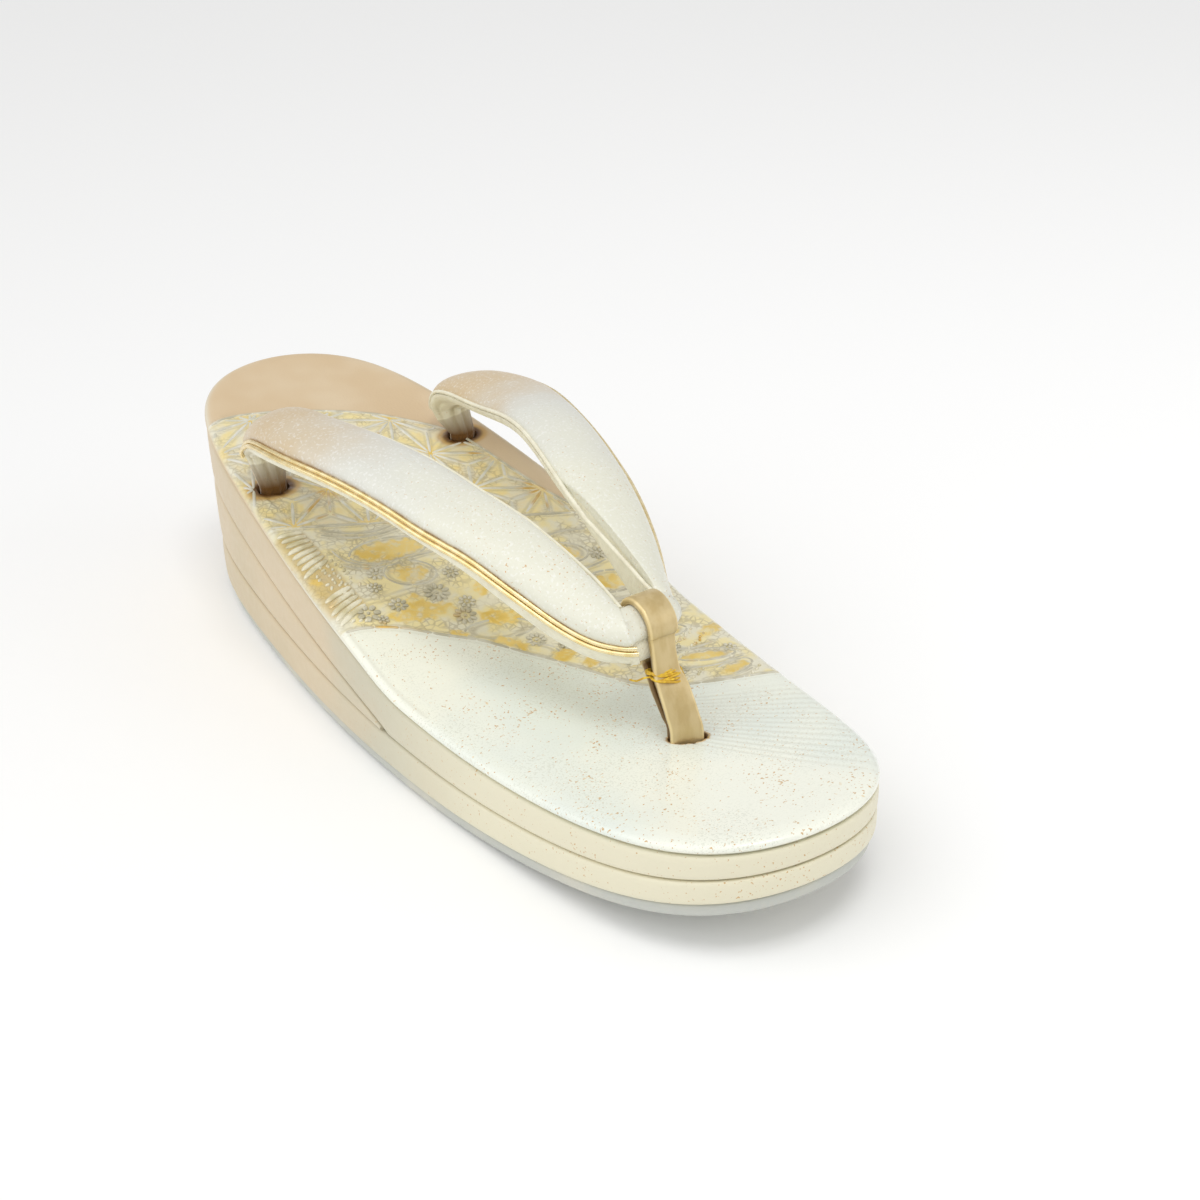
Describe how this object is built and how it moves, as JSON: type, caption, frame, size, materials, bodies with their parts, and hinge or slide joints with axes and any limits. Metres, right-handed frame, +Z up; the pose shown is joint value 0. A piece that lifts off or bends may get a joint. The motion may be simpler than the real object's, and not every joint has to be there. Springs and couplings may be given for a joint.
{
  "type": "zori sandal",
  "caption": "Women's zori sandal with a wrapped wedge sole, an embossed padded footbed, padded straps with gold piping and a gold toe loop.",
  "frame": {"origin": "on the ground, at the middle of the bounding box seen from above", "axes": "+Y toward the toe along the sole, +Z up, +X toward the outer side of the right foot"},
  "size_m": [0.0836, 0.24, 0.0704],
  "materials": {
    "outsole_rubber": "matt bluish grey sheet",
    "edge_leather": "satin leather wrap, tan at the heel and cream at the toe",
    "footbed_leather": "pearl leather with an embossed pattern touched with gold",
    "strap_leather": "pearl leather over padding, with a fine grain",
    "strap_lining": "short cream nap",
    "gold_piping": "metallic gold, satin gloss",
    "loop_leather": "bronze gold leather, satin",
    "gold_thread": "yellow gold thread"
  },
  "bodies": {
    "root": {"outsole": "outsole_rubber", "lower_layer": "edge_leather", "heel_wedge": "edge_leather", "top_layer": "edge_leather", "footbed": "footbed_leather", "strap": "strap_leather", "piping_outer": "gold_piping", "piping_inner": "gold_piping", "toe_loop": "loop_leather"}
  },
  "joints": []
}
